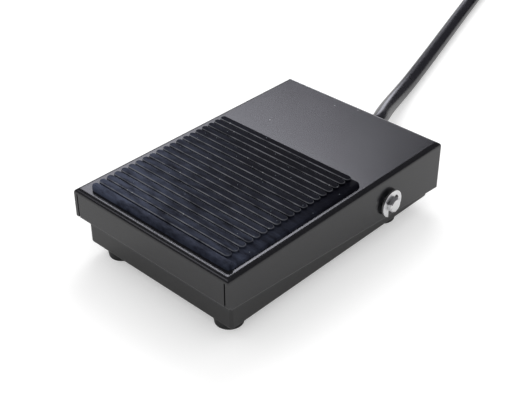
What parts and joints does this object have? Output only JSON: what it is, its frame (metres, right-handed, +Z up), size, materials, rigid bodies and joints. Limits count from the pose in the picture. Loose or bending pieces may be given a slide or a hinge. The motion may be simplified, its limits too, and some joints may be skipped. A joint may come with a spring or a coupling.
{
  "type": "industrial foot switch",
  "caption": "Momentary foot switch: sheet-metal pedal cover with ribbed rubber tread, tipping on a cross pin over a tray that holds a snap-action switch and spring, with a trailing cord.",
  "frame": {"origin": "on the floor under the middle of the pedal cover", "axes": "+Z up, +Y from the toe end to the cord end, +X to the right of the cover seen from the toe end"},
  "size_m": [0.1112, 0.3657, 0.0273],
  "materials": {
    "cover_paint": "satin black powder coat",
    "tray_paint": "satin black powder coat",
    "tread_rubber": "moulded ribbed rubber, slightly glossy",
    "black_rubber": "plain moulded rubber",
    "zinc_steel": "bright zinc plate",
    "spring_steel": "bright drawn wire and strip",
    "terminal_brass": "tinned brass blades",
    "nylon": "natural nylon",
    "switch_plastic": "moulded thermoset",
    "plunger_plastic": "red moulded plunger",
    "cord_jacket": "black vinyl jacket",
    "lead_black": "vinyl insulation",
    "lead_red": "vinyl insulation",
    "lead_white": "vinyl insulation"
  },
  "bodies": {
    "base": {"base_tray": "tray_paint", "hinge_pin": "zinc_steel", "clip_left": "zinc_steel", "clip_right": "zinc_steel", "hinge_washers": "nylon", "return_spring": "spring_steel", "spring_seat": "zinc_steel", "travel_stops": "black_rubber", "switch_case": "switch_plastic", "switch_cap": "switch_plastic", "switch_terminals": "terminal_brass", "switch_bracket": "zinc_steel", "switch_screws": "zinc_steel", "switch_nuts": "zinc_steel", "bracket_screws": "zinc_steel", "bracket_nuts": "zinc_steel", "rubber_feet": "black_rubber", "cord_relief": "black_rubber", "cord_inlet": "cord_jacket", "cord_clamp": "zinc_steel", "clamp_screw": "zinc_steel", "lead_common": "lead_black", "lead_open": "lead_red", "lead_closed": "lead_white", "cord_tube": "cord_jacket", "cord_coil": "cord_jacket", "cord_tail": "cord_jacket", "cord_ends": "lead_white", "cord_tie": "cord_jacket"},
    "pedal": {"pedal_cover": "cover_paint", "tread_pad": "tread_rubber", "actuator_stud": "zinc_steel", "spring_guide": "zinc_steel"},
    "lever": {"switch_lever": "spring_steel"},
    "plunger": {"switch_plunger": "plunger_plastic"}
  },
  "joints": [
    {"name": "pedal_press", "type": "hinge", "parent": "base", "child": "pedal", "pos_m": [0, 0.0227, 0.0151], "axis": [1, 0, 0], "range_deg": [0, 4], "stiffness_Nm_per_rad": 3.7, "springref_deg": -13.92, "deforming": ["return_spring"]},
    {"name": "lever_swing", "type": "hinge", "parent": "base", "child": "lever", "pos_m": [0, 0.0056, 0.0177], "axis": [1, 0, 0], "range_deg": [0, 8.6]},
    {"name": "plunger_travel", "type": "slide", "parent": "base", "child": "plunger", "axis": [0, 0, -1], "range_m": [0, 0.0009]}
  ],
  "couplings": [
    {"joint": "lever_swing", "follows": "pedal_press", "ratio": 2.048},
    {"joint": "plunger_travel", "follows": "pedal_press", "m_per_rad": 0.010686}
  ]
}
